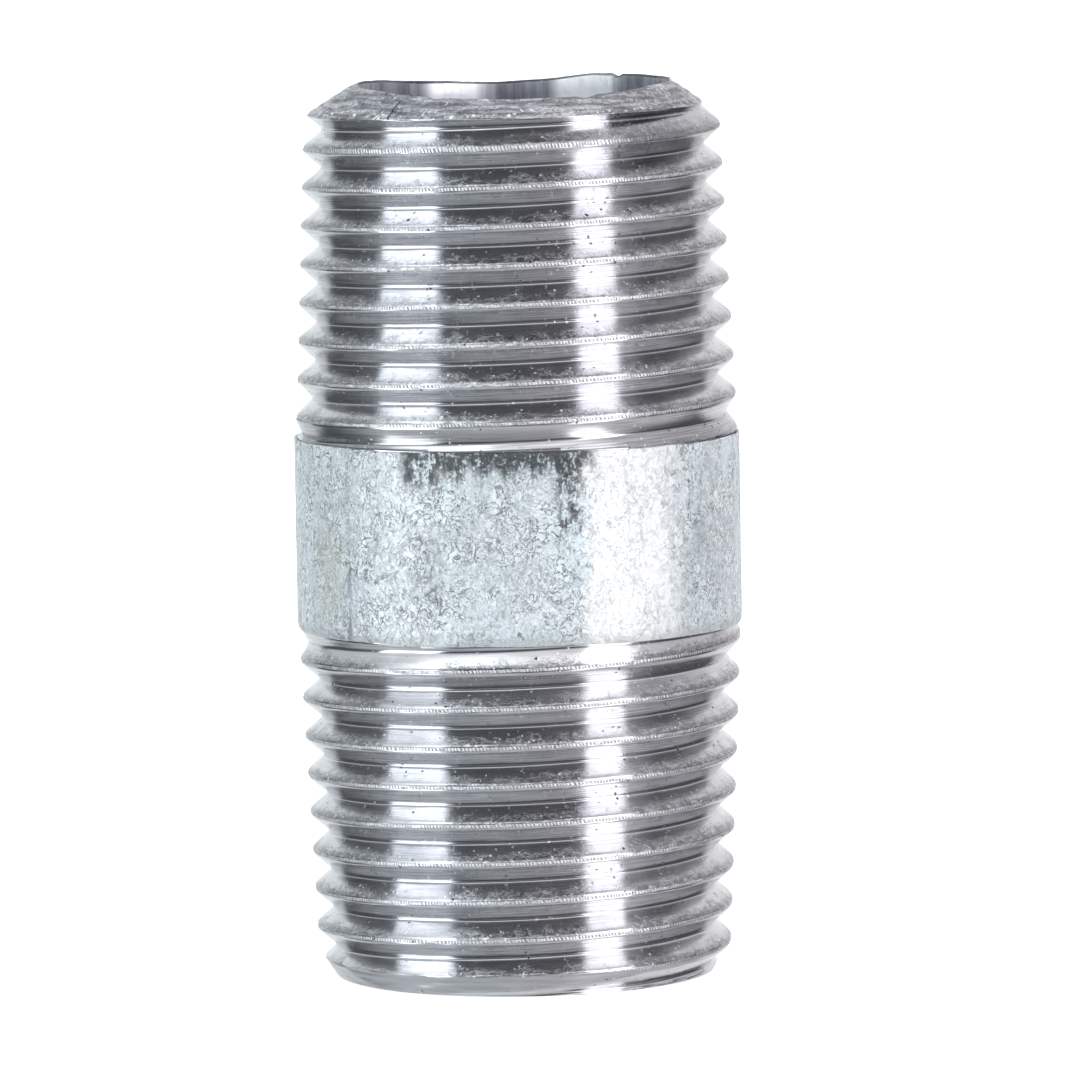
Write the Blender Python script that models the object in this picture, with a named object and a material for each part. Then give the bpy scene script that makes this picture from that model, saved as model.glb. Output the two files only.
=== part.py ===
"""Threaded pipe nipple (barrel nipple) for half-inch pipe, galvanised, 42.2 mm long.

The nipple is one length of heavy-wall welded steel pipe. It was galvanised
inside and out as pipe, then a tapered right-hand thread was cut through the
zinc from each end, so bare steel shows on the threads and zinc is left only on
the plain band between them and in the bore. Three bodies follow from that:

  steel_pipe_body    the pipe with both threads and both end bevels cut in it
  outer_zinc_coat    the sleeve of zinc left on the plain band
  bore_zinc_lining   the zinc on the bore wall

Frame: metres, +Z along the pipe's axis, origin at the centre of the lower end
face. -Y is the front. Nothing on the object moves.
"""

import math

import bmesh
import bpy

MM = 0.001

# ---- driving dimensions, in millimetres ------------------------------------
LENGTH = 42.2              # over the two end faces
BAND_LOW = 16.50           # lower edge of the plain band of zinc
BAND_HIGH = 25.60          # upper edge of the plain band of zinc
BAND_OUTER_R = 10.55       # over the zinc: 21.1 mm outside diameter
BORE_R = 7.35              # inside the zinc: 14.7 mm bore
ZINC = 0.12                # thickness of each zinc layer
BOND_GAP = 0.30            # clearance between zinc and steel, where the real layers are bonded
STEEL_BAND_R = BAND_OUTER_R - ZINC - BOND_GAP
STEEL_BORE_R = BORE_R + ZINC + BOND_GAP
THREAD_TOP_LOW = BAND_LOW - BOND_GAP      # where the lower thread stops under the band
THREAD_FOOT_HIGH = BAND_HIGH + BOND_GAP   # where the upper thread starts over the band

PITCH = 25.4 / 14.0        # 14 threads to the inch
CREST_R_END = 9.76         # crest radius at each end face
TAPER = 0.0444             # growth of the radius per millimetre towards the band
THREAD_DEPTH = 0.80        # crest to root
CREST_FLAT = 0.24          # width of the crest along the axis
ROOT_FLAT = 0.12           # width of the root along the axis
CREST_R_MOST = BAND_OUTER_R - ZINC         # no crest stands out as far as the zinc
RUN_OUT = 2.2              # length over which the groove runs out beside the band
RUN_OUT_SHARE = 0.40       # the groove's depth at the band, as a share of its full depth
UPPER_ROOT_Z = 40.063      # height of a root line of the upper thread at the left, at -X
LOWER_ROOT_Z = 14.087      # the same for the lower thread

TOP_LAND = 0.40            # flat left between the bore and the top bevel
LOW_LAND = 1.25            # flat left between the bore and the lower bevel
TOP_BEVEL = math.tan(math.radians(43.0))   # the bevels' slopes, from the end faces
LOW_BEVEL = math.tan(math.radians(56.0))

SEAM_ANGLE = math.radians(-138.8)   # the pipe's weld seam, at the front left
SEAM_BEAD = 0.22           # height of the weld's bead inside the bore
SEAM_HALF = math.radians(8.0)

SIDES = 48                 # facets round the axis
OVERSHOOT = 1.2            # how far the thread is drawn past each end before it is trimmed

STEP = 2.0 * math.pi / SIDES


# ---- geometry rules ---------------------------------------------------------
def crest_radius(z):
    """Radius of the thread's crests at height z: it grows from each end towards the band."""
    from_end = z if z < LENGTH / 2 else LENGTH - z
    return min(CREST_R_END + TAPER * from_end, CREST_R_MOST)


def groove_depth(z):
    """Full depth along the thread, less where the groove runs out beside the band."""
    away = THREAD_TOP_LOW - z if z < LENGTH / 2 else z - THREAD_FOOT_HIGH
    share = min(1.0, max(0.0, away / RUN_OUT))
    return THREAD_DEPTH * (RUN_OUT_SHARE + (1.0 - RUN_OUT_SHARE) * share)


def thread_radius(z, root_z, turn):
    """Radius of the threaded surface at height z, a share `turn` of a turn on from -X."""
    phase = (z - root_z - PITCH * turn) / PITCH
    from_root = abs(phase - round(phase)) * PITCH
    flank = PITCH / 2 - ROOT_FLAT / 2 - CREST_FLAT / 2
    up = min(1.0, max(0.0, (from_root - ROOT_FLAT / 2) / flank))
    return crest_radius(z) - groove_depth(z) * (1.0 - up)


def seam_bead(angle):
    """How far the weld's bead stands into the bore at this angle."""
    off = math.remainder(angle - SEAM_ANGLE, 2.0 * math.pi)
    return SEAM_BEAD * math.exp(-((off / SEAM_HALF) ** 2))


def column_angle(i):
    return -math.pi + STEP * i


def point(radius, angle, z):
    return (radius * math.cos(angle) * MM, radius * math.sin(angle) * MM, z * MM)


# ---- mesh helpers -----------------------------------------------------------
def finish_mesh(bm, name):
    bmesh.ops.remove_doubles(bm, verts=bm.verts, dist=2e-7)
    bmesh.ops.dissolve_degenerate(bm, dist=1e-7, edges=bm.edges)
    bmesh.ops.recalc_face_normals(bm, faces=bm.faces)
    mesh = bpy.data.meshes.new(name)
    bm.to_mesh(mesh)
    bm.free()
    return mesh


def new_object(name, mesh, material=None):
    obj = bpy.data.objects.new(name, mesh)
    bpy.context.scene.collection.objects.link(obj)
    if material is not None:
        mesh.materials.append(material)
    return obj


def smooth(mesh, degrees=32.0):
    mesh.shade_smooth()
    mesh.set_sharp_from_angle(angle=math.radians(degrees))


def bridge(bm, low, high):
    """Quads between two rings of vertices with the same count."""
    n = len(low)
    for i in range(n):
        j = (i + 1) % n
        bm.faces.new((low[i], low[j], high[j], high[i]))


def ring(bm, radius_of, z):
    return [
        bm.verts.new(point(radius_of(column_angle(i)), column_angle(i), z))
        for i in range(SIDES)
    ]


def helical_rows(bm, z_low, z_high, root_z):
    """The threaded surface between two heights, on rows that follow the helix.

    Each turn has four rows: both edges of the root and both edges of the crest.
    Rows past either height are held at that height, where they meet in one ring.
    It returns the lowest and highest ring.
    """
    offsets = (
        -ROOT_FLAT / 2,
        ROOT_FLAT / 2,
        PITCH / 2 - CREST_FLAT / 2,
        PITCH / 2 + CREST_FLAT / 2,
    )
    first = math.floor((z_low - root_z) / PITCH) - 2
    last = math.ceil((z_high - root_z) / PITCH) + 1
    rows = [
        root_z + PITCH * k + offset for k in range(first, last + 1) for offset in offsets
    ]
    grid = []
    for i in range(SIDES):
        turn = i / SIDES
        column = []
        held = {}
        for base in rows:
            z = min(z_high, max(z_low, base + PITCH * turn))
            if z not in held:
                radius = thread_radius(z, root_z, turn)
                held[z] = bm.verts.new(point(radius, column_angle(i), z))
            column.append(held[z])
        grid.append(column)
    per_turn = len(offsets)
    for i in range(SIDES):
        here = grid[i]
        shift = 0 if i < SIDES - 1 else per_turn
        there = grid[(i + 1) % SIDES]
        # After a full turn a row carries on as the row one pitch higher.
        for j in range(len(rows) - 1):
            a, b = here[j], here[j + 1]
            k = min(j + shift, len(rows) - 1)
            m = min(j + 1 + shift, len(rows) - 1)
            c, d = there[m], there[k]
            corners = []
            for v in (a, d, c, b):
                if v not in corners:
                    corners.append(v)
            if len(corners) >= 3:
                bm.faces.new(corners)
        if shift:
            for j in range(shift):
                a, b = there[j], there[j + 1]
                if a is not b:
                    bm.faces.new((here[0], b, a))
    low = [column[0] for column in grid]
    high = [column[-1] for column in grid]
    return low, high


def turned(name, profile, sides=SIDES, bead=None):
    """A closed ring-shaped solid of revolution from a loop of (radius, z) points."""
    bm = bmesh.new()
    rings = []
    for radius, z, in_bore in profile:
        rings.append(
            ring(
                bm,
                (lambda a, r=radius: r - seam_bead(a)) if in_bore else (lambda a, r=radius: r),
                z,
            )
        )
    for a, b in zip(rings, rings[1:] + rings[:1]):
        bridge(bm, a, b)
    return finish_mesh(bm, name)


def material(name, colour, roughness, metallic):
    made = bpy.data.materials.new(name)
    made.use_nodes = True
    shader = made.node_tree.nodes["Principled BSDF"]
    shader.inputs["Base Color"].default_value = (*colour, 1.0)
    shader.inputs["Roughness"].default_value = roughness
    shader.inputs["Metallic"].default_value = metallic
    made.diffuse_color = (*colour, 1.0)
    return made


# ---- the three bodies -------------------------------------------------------
def threaded_bar(name):
    """A solid bar with both threads on it, longer than the nipple at each end."""
    bm = bmesh.new()
    low_end, low_top = helical_rows(bm, -OVERSHOOT, THREAD_TOP_LOW, LOWER_ROOT_Z)
    band_low = ring(bm, lambda a: STEEL_BAND_R, THREAD_TOP_LOW)
    band_high = ring(bm, lambda a: STEEL_BAND_R, THREAD_FOOT_HIGH)
    high_low, high_end = helical_rows(
        bm, THREAD_FOOT_HIGH, LENGTH + OVERSHOOT, UPPER_ROOT_Z
    )
    bridge(bm, low_top, band_low)
    bridge(bm, band_low, band_high)
    bridge(bm, band_high, high_low)
    bm.faces.new(list(reversed(low_end)))
    bm.faces.new(high_end)
    return finish_mesh(bm, name)


def trim_envelope(name):
    """What the cut-off, the bevelling and the bore leave: a ring wider than the thread, bevelled at both ends."""
    wide = BAND_OUTER_R + 1.0
    top_edge = STEEL_BORE_R + TOP_LAND
    low_edge = STEEL_BORE_R + LOW_LAND
    return turned(
        name,
        [
            (STEEL_BORE_R, 0.0, True),
            (low_edge, 0.0, False),
            (wide, (wide - low_edge) * LOW_BEVEL, False),
            (wide, LENGTH - (wide - top_edge) * TOP_BEVEL, False),
            (top_edge, LENGTH, False),
            (STEEL_BORE_R, LENGTH, True),
        ],
    )


def outer_coat(name):
    inner = BAND_OUTER_R - ZINC
    ease = 0.06
    return turned(
        name,
        [
            (inner, BAND_LOW, False),
            (BAND_OUTER_R - ease, BAND_LOW, False),
            (BAND_OUTER_R, BAND_LOW + 0.35, False),
            (BAND_OUTER_R, BAND_HIGH - 0.10, False),
            (BAND_OUTER_R - ease, BAND_HIGH, False),
            (inner, BAND_HIGH, False),
        ],
    )


def bore_lining(name):
    outer = BORE_R + ZINC
    inner = BORE_R
    return turned(
        name,
        [
            (outer, 0.10, True),
            (outer, LENGTH - 0.10, True),
            (inner, LENGTH - 0.18, True),
            (inner, 0.18, True),
        ],
    )


def main():
    for old in list(bpy.data.objects):
        bpy.data.objects.remove(old, do_unlink=True)

    cut_steel = material("cut_steel", (0.50, 0.51, 0.54), 0.28, 1.0)
    zinc = material("hot_dip_zinc", (0.72, 0.76, 0.79), 0.42, 1.0)

    axis = bpy.data.objects.new("pipe_axis", None)
    bpy.context.scene.collection.objects.link(axis)

    body = new_object("steel_pipe_body", threaded_bar("steel_pipe_body"), cut_steel)
    envelope = new_object("trim_envelope", trim_envelope("trim_envelope"))
    envelope.hide_render = True
    envelope.display_type = "WIRE"
    trim = body.modifiers.new("trim_ends_and_bore", "BOOLEAN")
    trim.operation = "INTERSECT"
    trim.solver = "EXACT"
    trim.object = envelope

    coat = new_object("outer_zinc_coat", outer_coat("outer_zinc_coat"), zinc)
    lining = new_object("bore_zinc_lining", bore_lining("bore_zinc_lining"), zinc)

    for obj in (body, coat, lining):
        smooth(obj.data)
        obj.parent = axis
    envelope.parent = axis


main()
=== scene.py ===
"""Looks of the half-inch pipe nipple: threads, mouth, zinc and studio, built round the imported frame."""

import math

import bpy
import numpy as np
from mathutils import Euler, Matrix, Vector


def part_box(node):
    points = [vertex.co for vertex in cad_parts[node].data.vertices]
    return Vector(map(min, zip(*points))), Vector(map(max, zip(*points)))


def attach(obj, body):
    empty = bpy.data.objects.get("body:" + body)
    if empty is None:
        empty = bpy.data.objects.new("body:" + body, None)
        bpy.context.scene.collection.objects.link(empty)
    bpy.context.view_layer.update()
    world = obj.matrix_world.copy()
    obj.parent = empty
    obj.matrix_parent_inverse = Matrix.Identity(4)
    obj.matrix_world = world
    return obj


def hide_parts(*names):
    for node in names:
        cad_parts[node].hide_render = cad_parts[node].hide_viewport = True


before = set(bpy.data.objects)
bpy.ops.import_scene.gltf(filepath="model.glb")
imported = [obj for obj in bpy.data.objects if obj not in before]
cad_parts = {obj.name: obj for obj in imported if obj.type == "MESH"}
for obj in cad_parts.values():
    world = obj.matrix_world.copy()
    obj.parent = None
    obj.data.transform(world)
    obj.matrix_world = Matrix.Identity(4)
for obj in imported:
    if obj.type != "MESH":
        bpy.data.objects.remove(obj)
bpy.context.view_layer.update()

MM = 0.001

# ---- dimensions, in millimetres, read from the frame where it holds them ----
pipe_low, pipe_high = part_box("steel_pipe_body")
coat_low, coat_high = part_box("outer_zinc_coat")
LENGTH = pipe_high.z / MM
BAND_LOW = coat_low.z / MM
BAND_HIGH = coat_high.z / MM
BAND_R = coat_high.x / MM
BORE_R = 7.35
PITCH = 25.4 / 14.0
UPPER_ROOT_Z = 40.063
LOWER_ROOT_Z = 14.087
SEAM = math.radians(-138.8)
SPLIT = 21.0                      # the two threaded halves meet here, under the zinc
UNDER_R = BAND_R - 0.17           # steel under the zinc band
STEEL_BORE = BORE_R + 0.07

N = 400                           # columns round the axis
TAU = 2.0 * math.pi


# ---- repeatable noise -------------------------------------------------------
def _hash(ix, iy, seed):
    h = (
        ix.astype(np.int64) * 374761393
        + iy.astype(np.int64) * 668265263
        + int(seed) * 974634777
    ) & 0xFFFFFFFF
    h = ((h ^ (h >> 13)) * 1274126177) & 0xFFFFFFFF
    h = ((h ^ (h >> 15)) * 2246822519) & 0xFFFFFFFF
    return (h ^ (h >> 16)).astype(np.float64) / 4294967295.0 * 2.0 - 1.0


def noise(u, v, cells, seed):
    """Smooth value noise from -1 to 1. u is a share of a turn and repeats; cells of it go round."""
    u, v = np.broadcast_arrays(np.asarray(u, float), np.asarray(v, float))
    x = np.mod(u, 1.0) * cells
    ix, iy = np.floor(x), np.floor(v)
    fx, fy = x - ix, v - iy
    sx = fx * fx * fx * (fx * (fx * 6 - 15) + 10)
    sy = fy * fy * fy * (fy * (fy * 6 - 15) + 10)
    x0, x1 = np.mod(ix, cells), np.mod(ix + 1, cells)
    a = _hash(x0, iy, seed) * (1 - sx) + _hash(x1, iy, seed) * sx
    b = _hash(x0, iy + 1, seed) * (1 - sx) + _hash(x1, iy + 1, seed) * sx
    return a * (1 - sy) + b * sy


def fractal(u, v, cells, seed, octaves=3, gain=0.5):
    total, size = 0.0, 1.0
    for k in range(octaves):
        total = total + size * noise(u, np.asarray(v, float) * 2**k, cells * 2**k, seed + 31 * k)
        size *= gain
    return total


def step(x, a, b):
    t = np.clip((np.asarray(x, float) - a) / (b - a), 0.0, 1.0)
    return t * t * (3 - 2 * t)


def hump(turn, centre_deg, half_deg):
    """1 at an angle, falling to 0 over half_deg to each side of it."""
    off = np.abs((np.asarray(turn, float) * 360.0 - 180.0 - centre_deg + 180.0) % 360.0 - 180.0)
    return 1.0 - step(off, 0.0, half_deg)


# ---- the threaded surface ---------------------------------------------------
# `turn` is the share of a turn on from -X, counter-clockwise seen from above.
def crest_radius(z, upper):
    if upper:
        return 9.7525 + 0.0444 * (LENGTH - 0.95 - z)
    return 9.735 + 0.04445 * z


def thread(z, turn, root_z, upper):
    """Radius and masks of the thread at height z."""
    z = np.asarray(z, float)
    turn = np.asarray(turn, float)
    phase = (z - root_z) / PITCH - turn
    whole = np.round(phase)
    side = phase - whole                    # below 0: the flank that faces up
    d = np.abs(side) * PITCH
    along = whole + turn                    # turns along the helix
    edge = BAND_HIGH if upper else BAND_LOW
    away = (z - edge) if upper else (edge - z)
    share = 0.42 + 0.58 * step(away, 0.0, 2.6)
    lane = along * 1.0
    depth = 0.815 * share * (1.0 + 0.030 * noise(turn, lane * 9.0, 9, 5))
    root_half = 0.052 + 0.012 * noise(turn, lane * 7.0, 14, 6)
    crest_half = 0.126 + 0.028 * fractal(turn, lane * 5.0, 26, 7, 3)
    flank = PITCH / 2 - root_half - crest_half
    t = (d - root_half) / flank
    # the tool left both corners a little round
    k_root, k_crest = 52.0, 24.0
    up = np.log1p(np.exp(k_root * t)) / k_root
    up = 1.0 - np.log1p(np.exp(k_crest * (1.0 - up))) / k_crest
    up = np.clip(up, 0.0, 1.0)
    crest = step(d, PITCH / 2 - 0.095, PITCH / 2 - 0.045)
    root = 1.0 - step(d, 0.03, 0.085)
    r = crest_radius(z, upper) - depth * (1.0 - up)
    r = r + crest * (0.026 * fractal(turn, lane * 11.0, 40, 8, 2) + 0.012 * noise(turn, lane * 3.0, 170, 9))
    flanks = np.clip(1.0 - crest - root, 0.0, 1.0)
    r = r + flanks * 0.005 * fractal(turn, lane * 13.0 + side * 3.0, 30, 10, 2)
    top = UNDER_R + 0.02 + 0.12 * step(away, 0.0, 0.5)
    r = np.minimum(r, np.minimum(top, BAND_R - 0.01))
    return r, crest, root, side


# height of the mouth's edge below the full length, by angle from +X, counter-clockwise
RIM_AT = (-180, -150, -118, -90, -60, -30, 0, 25, 42, 52, 62, 71, 80, 90, 98, 118, 142, 160, 180)
RIM_DROP = (0.01, 0.16, 0.40, 0.49, 0.40, 0.14, 0.01, 0.0, 0.0, 0.01, 0.06, 0.20, 0.30, 0.37, 0.43, 0.31, 0.11, 0.03, 0.01)


def rim_z(turn):
    a = turn * 360.0 - 180.0
    z = LENGTH - np.interp(a, RIM_AT, RIM_DROP)
    z = z + 0.028 * noise(turn, 0.5, 23, 21) + 0.018 * noise(turn, 0.5, 71, 22)
    z = z - 0.10 * hump(turn, -62, 5) - 0.07 * hump(turn, -118, 4) - 0.13 * hump(turn, 47, 3)
    return np.minimum(z, LENGTH - 0.003)


def rim_r(turn):
    r = BORE_R + 0.08 + 0.035 * noise(turn, 1.5, 19, 23) + 0.02 * noise(turn, 1.5, 60, 24)
    return r + 0.08 * hump(turn, 0, 40) - 0.20 * hump(turn, 178, 34)


TOP_SLOPE = math.tan(math.radians(33.7))


def bevel_radius(z, turn):
    """The top bevel at height z: one cone all round, flatter where the mouth dips; rough, torn in steps."""
    down = rim_z(turn) - z
    cone = BORE_R + 0.09 + (LENGTH - z) / (TOP_SLOPE * (1.0 + 0.05 * hump(turn, 0, 70)))
    near = rim_r(turn) + 0.03 + down / math.tan(math.radians(20.0))
    r = np.minimum(cone, near)
    tear = 0.045 * fractal(turn, z * 1.6, 17, 25, 4, 0.6) + 0.030 * noise(turn, z * 7.0, 60, 26)
    steps = 0.030 * np.sin(z * 19.0 + 2.2 * noise(turn, 0.2, 11, 27) * 2.0)
    keep = step(down, 0.0, 0.12)
    return r + keep * (tear + steps)


def foot_radius(z, turn):
    """The lower chamfer: a short cone from the flat foot."""
    return 8.98 + 0.05 * noise(turn, 0.3, 15, 41) + z / 1.45 + 0.02 * noise(turn, z * 6.0, 60, 42)


HALF = [0.0, 0.030, 0.058, 0.090, 0.140, 0.28, 0.46, 0.60, 0.68, 0.735, 0.785, 0.845, PITCH / 2]
OFFSETS = HALF[:-1] + [PITCH - d for d in HALF[::-1]][:-1]
ROWS = len(OFFSETS)


class Solid:
    """A closed surface gathered ring by ring. Each ring has N points."""

    def __init__(self):
        self.co, self.data, self.faces, self.face_turns = [], [], [], []
        self.count = 0

    def points(self, r, turn, z, masks):
        a = np.asarray(turn) * TAU - math.pi
        co = np.stack([r * np.cos(a), r * np.sin(a), z], 1)
        start = self.count
        self.co.append(co)
        self.data.append(np.stack([np.broadcast_to(m, len(co)) for m in masks], 1))
        self.count += len(co)
        return start + np.arange(len(co))

    def quads(self, a, b, c, d, i):
        """Quads, with those that collapse at one side made triangles. i is the column of a."""
        lost_ad, lost_bc = a == d, b == c
        full = ~(lost_ad | lost_bc)
        for keep, cols in (
            (full, (a, b, c, d)),
            (lost_ad & ~lost_bc, (a, b, c)),
            (lost_bc & ~lost_ad, (a, b, d)),
        ):
            if keep.any():
                self.faces.append(np.stack([x[keep] for x in cols], 1))
                shares = [i[keep] / N, (i[keep] + 1) / N, (i[keep] + 1) / N, i[keep] / N]
                if len(cols) == 3:
                    shares = [shares[0], shares[1], shares[2] if cols[2] is c else shares[3]]
                self.face_turns.append(np.stack(shares, 1))

    def join(self, low, high):
        i = np.arange(N)
        j = (i + 1) % N
        self.quads(low[i], low[j], high[j], high[i], i)

    def helix(self, z_a, z_b, root_z, upper):
        """The threaded wall between two heights, on rows that follow the helix."""
        first = math.floor((z_a - root_z) / PITCH) - 2
        last = math.ceil((z_b - root_z) / PITCH) + 1
        base = np.array([root_z + PITCH * k + o for k in range(first, last + 1) for o in OFFSETS])
        turn = np.arange(N) / N
        zz = base[:, None] + PITCH * turn[None, :]
        tt = np.broadcast_to(turn[None, :], zz.shape)
        inside = (zz > z_a + 1e-4) & (zz < z_b - 1e-4)
        idx = np.zeros(zz.shape, np.int64)
        ring_a = self.ring_thread(z_a, turn, root_z, upper)
        ring_b = self.ring_thread(z_b, turn, root_z, upper)
        idx[:] = np.where(zz <= z_a + 1e-4, ring_a[None, :], ring_b[None, :])
        r, crest, root, side = thread(zz[inside], tt[inside], root_z, upper)
        idx[inside] = self.points(r, tt[inside], zz[inside], (crest, root, 0.0, side))
        wrapped = np.concatenate([idx[ROWS:, 0], np.full(ROWS, ring_b[0])])
        nxt = np.concatenate([idx[:, 1:], wrapped[:, None]], 1)
        i = np.broadcast_to(np.arange(N)[None, :], idx[:-1].shape).ravel()
        self.quads(idx[:-1].ravel(), nxt[:-1].ravel(), nxt[1:].ravel(), idx[1:].ravel(), i)
        return ring_a, ring_b

    def ring_thread(self, z, turn, root_z, upper):
        r, crest, root, side = thread(np.full(len(turn), z), turn, root_z, upper)
        return self.points(r, turn, np.full(len(turn), z), (crest, root, 0.0, side))

    def mesh(self, name, root_z):
        co = np.concatenate(self.co)
        data = np.concatenate(self.data)
        faces, turns = [], []
        for f, t in zip(self.faces, self.face_turns):
            faces.extend(f.tolist())
            turns.append(t)
        made = bpy.data.meshes.new(name)
        made.from_pydata((co * MM).tolist(), [], faces)
        # uv, in millimetres: along the helix, and across it from the root below
        uv = made.uv_layers.new(name="thread_uv")
        flat_uv = []
        for f, t in zip(self.faces, turns):
            z = co[f, 2]
            level = (z - root_z) / PITCH - t
            whole = np.floor(level.mean(1) + 1e-9)[:, None]
            u = (whole + t) * TAU * 10.0
            v = (level - whole) * PITCH
            flat_uv.append(np.stack([u, v], 2).reshape(-1, 2))
        uv.data.foreach_set("uv", np.concatenate(flat_uv).astype(np.float32).ravel())
        for k, label in enumerate(("crest", "root", "bevel", "side")):
            layer = made.attributes.new(label, "FLOAT", "POINT")
            layer.data.foreach_set("value", data[:, k].astype(np.float32))
        made.validate()
        made.update()
        return made


def resample(z_samples, r_samples, count):
    """Points at even spacing along one column's profile."""
    run = np.concatenate([[0.0], np.cumsum(np.hypot(np.diff(z_samples), np.diff(r_samples)))])
    at = np.linspace(0.0, run[-1], count)
    return np.interp(at, run, z_samples), np.interp(at, run, r_samples)


def end_rows(solid, z0, z_end, cone, root_z, upper, count):
    """The stretch of wall from the ring at z0 to the end's edge, where the bevel cuts the thread."""
    turn = np.arange(N) / N
    zs = np.zeros((count, N))
    rs = np.zeros((count, N))
    for i in range(N):
        z = np.linspace(z0, z_end[i], 500)
        t = np.full(500, turn[i])
        r = np.minimum(thread(z, t, root_z, upper)[0], cone(z, t))
        zs[:, i], rs[:, i] = resample(z, r, count)
    rings = []
    for k in range(1, count):
        r, crest, root, side = thread(zs[k], turn, root_z, upper)
        cut = step(r - rs[k], 0.0, 0.06)
        rings.append(
            solid.points(rs[k], turn, zs[k], (crest * (1 - cut), root * (1 - cut), cut, side))
        )
    return rings


def plain_ring(solid, r, z, bevel=0.0):
    turn = np.arange(N) / N
    return solid.points(
        np.broadcast_to(np.asarray(r, float), N).copy(),
        turn,
        np.broadcast_to(np.asarray(z, float), N).copy(),
        (0.0, 0.0, bevel, 0.0),
    )


def upper_half():
    s = Solid()
    turn = np.arange(N) / N
    r0 = plain_ring(s, UNDER_R, SPLIT)
    r1 = plain_ring(s, UNDER_R, BAND_HIGH - 0.02)
    z0 = LENGTH - 2.9
    low, high = s.helix(BAND_HIGH, z0, UPPER_ROOT_Z, True)
    s.join(r0, r1)
    s.join(r1, low)
    rings = [high] + end_rows(s, z0, rim_z(turn), bevel_radius, UPPER_ROOT_Z, True, 60)
    lip = rim_z(turn)
    rings.append(plain_ring(s, rim_r(turn) + 0.012, lip - 0.006, 1.0))
    rings.append(plain_ring(s, rim_r(turn), lip - 0.022, 0.7))
    rings.append(plain_ring(s, rim_r(turn) + 0.005, lip - 0.07, 0.4))
    rings.append(plain_ring(s, np.full(N, STEEL_BORE), lip - 0.17, 0.0))
    rings.append(plain_ring(s, STEEL_BORE, SPLIT))
    rings.append(r0)
    for a, b in zip(rings, rings[1:]):
        s.join(a, b)
    return s.mesh("upper_steel_half", UPPER_ROOT_Z)


def lower_half():
    s = Solid()
    turn = np.arange(N) / N
    b0 = plain_ring(s, STEEL_BORE, SPLIT)
    b1 = plain_ring(s, STEEL_BORE, 0.30)
    b2 = plain_ring(s, STEEL_BORE + 0.10, 0.05, 0.6)
    b3 = plain_ring(s, STEEL_BORE + 0.18, 0.0, 1.0)
    flat = [
        plain_ring(s, STEEL_BORE + 0.18 + f * (8.90 - STEEL_BORE - 0.18), 0.0, 1.0)
        for f in (0.34, 0.67, 1.0)
    ]
    z0 = 2.3
    rows = end_rows(
        s, z0, np.zeros(N), foot_radius, LOWER_ROOT_Z, False, 40
    )[::-1]
    low, high = s.helix(z0, BAND_LOW, LOWER_ROOT_Z, False)
    t1 = plain_ring(s, UNDER_R, BAND_LOW + 0.02)
    t2 = plain_ring(s, UNDER_R, SPLIT)
    rings = [b0, b1, b2, b3, *flat, *rows, low]
    for a, b in zip(rings, rings[1:]):
        s.join(a, b)
    s.join(high, t1)
    s.join(t1, t2)
    s.join(t2, b0)
    return s.mesh("lower_steel_half", LOWER_ROOT_Z)


# ---- zinc -------------------------------------------------------------------
def grid_solid(name, rows, columns):
    """A closed ring-shaped skin from rows of (radius, z) functions of the turn."""
    turn = np.arange(columns) / columns
    a = turn * TAU - math.pi
    co = []
    for radius, z in rows:
        r = np.broadcast_to(np.asarray(radius, float), columns)
        zz = np.broadcast_to(np.asarray(z, float), columns)
        co.append(np.stack([r * np.cos(a), r * np.sin(a), zz], 1))
    i = np.arange(columns)
    j = (i + 1) % columns
    faces = []
    for k in range(len(rows)):
        lo, hi = k * columns, ((k + 1) % len(rows)) * columns
        faces.extend(np.stack([lo + i, lo + j, hi + j, hi + i], 1).tolist())
    mesh = bpy.data.meshes.new(name)
    mesh.from_pydata((np.concatenate(co) * MM).tolist(), [], faces)
    mesh.validate()
    mesh.update()
    return mesh


def zinc_band():
    columns = 560
    turn = np.arange(columns) / columns
    rows = []
    z_low = BAND_LOW + 0.02 + 0.02 * (1 + noise(turn, 0.1, 31, 51))
    z_high = BAND_HIGH - 0.02 - 0.03 * (1 + noise(turn, 0.2, 37, 52)) - 0.05 * np.maximum(
        0, noise(turn, 0.7, 90, 53)
    )

    def skin(z):
        """The zinc's surface: flat facets the tube mill left, dimples and a slight lumpiness."""
        facets = 0.014 * noise(turn, 0.4, 17, 54) + 0.008 * noise(turn, z * 0.18, 29, 55)
        lumps = 0.006 * fractal(turn, z * 1.3, 46, 56, 3)
        seam = 0.016 * np.exp(-(((turn * 360 - 180 + 138.8 + 180) % 360 - 180) / 0.9) ** 2)
        return BAND_R - 0.026 + facets + lumps - seam

    inner = BAND_R - 0.15
    rows.append((inner, z_low + 0.03))
    rows.append((skin(z_low) - 0.085, z_low))
    for f, drop in ((0.06, 0.055), (0.14, 0.030), (0.24, 0.012), (0.36, 0.003)):
        rows.append((skin(z_low + f) - drop, z_low + f))
    for f in np.linspace(0.0, 1.0, 64)[1:-1]:
        z = z_low + 0.36 + f * (z_high - z_low - 0.36 - 0.08)
        rows.append((np.minimum(skin(z), BAND_R - 0.002), z))
    lip = 0.012 * (1 + noise(turn, 0.9, 64, 57))
    rows.append((np.minimum(skin(z_high) + lip * 0.5, BAND_R - 0.001), z_high - 0.045))
    rows.append((skin(z_high) - 0.012, z_high - 0.010))
    rows.append((skin(z_high) - 0.045, z_high))
    rows.append((inner, z_high - 0.01))
    return grid_solid("zinc_band_skin", rows, columns)


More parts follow.
